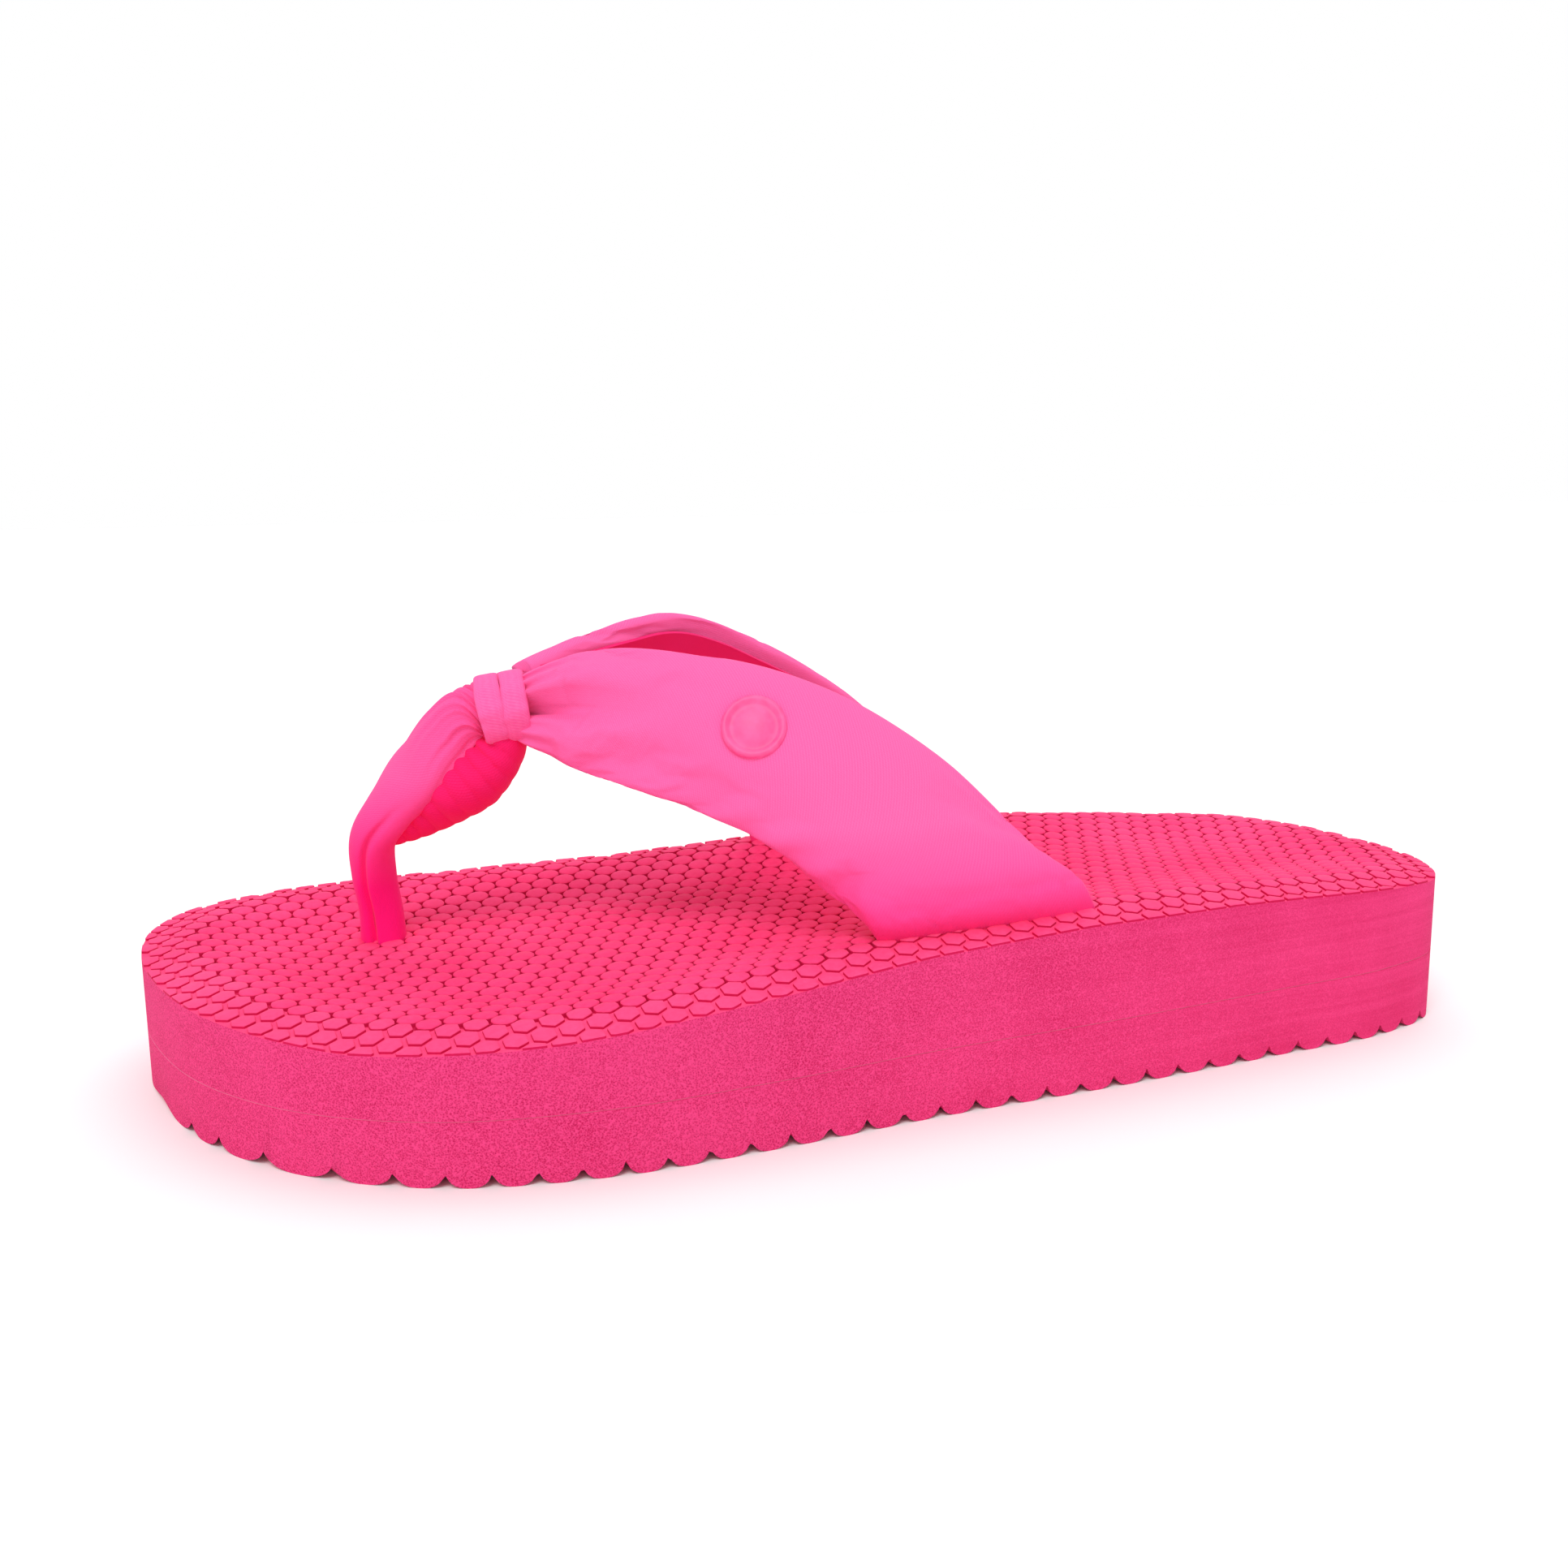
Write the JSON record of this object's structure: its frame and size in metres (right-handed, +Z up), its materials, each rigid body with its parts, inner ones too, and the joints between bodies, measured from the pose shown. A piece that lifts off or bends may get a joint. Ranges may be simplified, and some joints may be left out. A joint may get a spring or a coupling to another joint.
{
  "type": "flip flop",
  "caption": "Left-foot thong sandal: laminated foam sole with honeycomb footbed, padded fabric V strap gathered in a knot above the toe post.",
  "frame": {"origin": "on the ground under the middle of the sole", "axes": "+X from toe to heel, +Y towards the inner side of the foot, +Z up"},
  "size_m": [0.2552, 0.1115, 0.0841],
  "materials": {
    "outsole_foam": "matte closed-cell foam",
    "footbed_foam": "matte embossed foam",
    "strap_fabric": "fine stretch knit",
    "lining_fabric": "soft knit",
    "pad_foam": "soft open-cell foam",
    "webbing": "woven tape",
    "anchor_plastic": "moulded",
    "badge_rubber": "satin moulded rubber"
  },
  "bodies": {
    "root": {"outsole": "outsole_foam", "footbed": "footbed_foam", "toe_post_anchor": "anchor_plastic", "toe_post_core": "webbing", "thong_cover": "strap_fabric", "thong_fold": "strap_fabric", "knot_band_front": "strap_fabric", "knot_band_rear": "strap_fabric", "knot_bundle": "strap_fabric", "strap_cover_outer": "strap_fabric", "strap_cover_inner": "strap_fabric", "strap_pad_outer": "pad_foam", "strap_pad_inner": "pad_foam", "strap_lining_outer": "lining_fabric", "strap_lining_inner": "lining_fabric", "strap_tail_outer": "webbing", "strap_tail_inner": "webbing", "strap_anchor_outer": "anchor_plastic", "strap_anchor_inner": "anchor_plastic", "badge": "badge_rubber"}
  },
  "joints": []
}
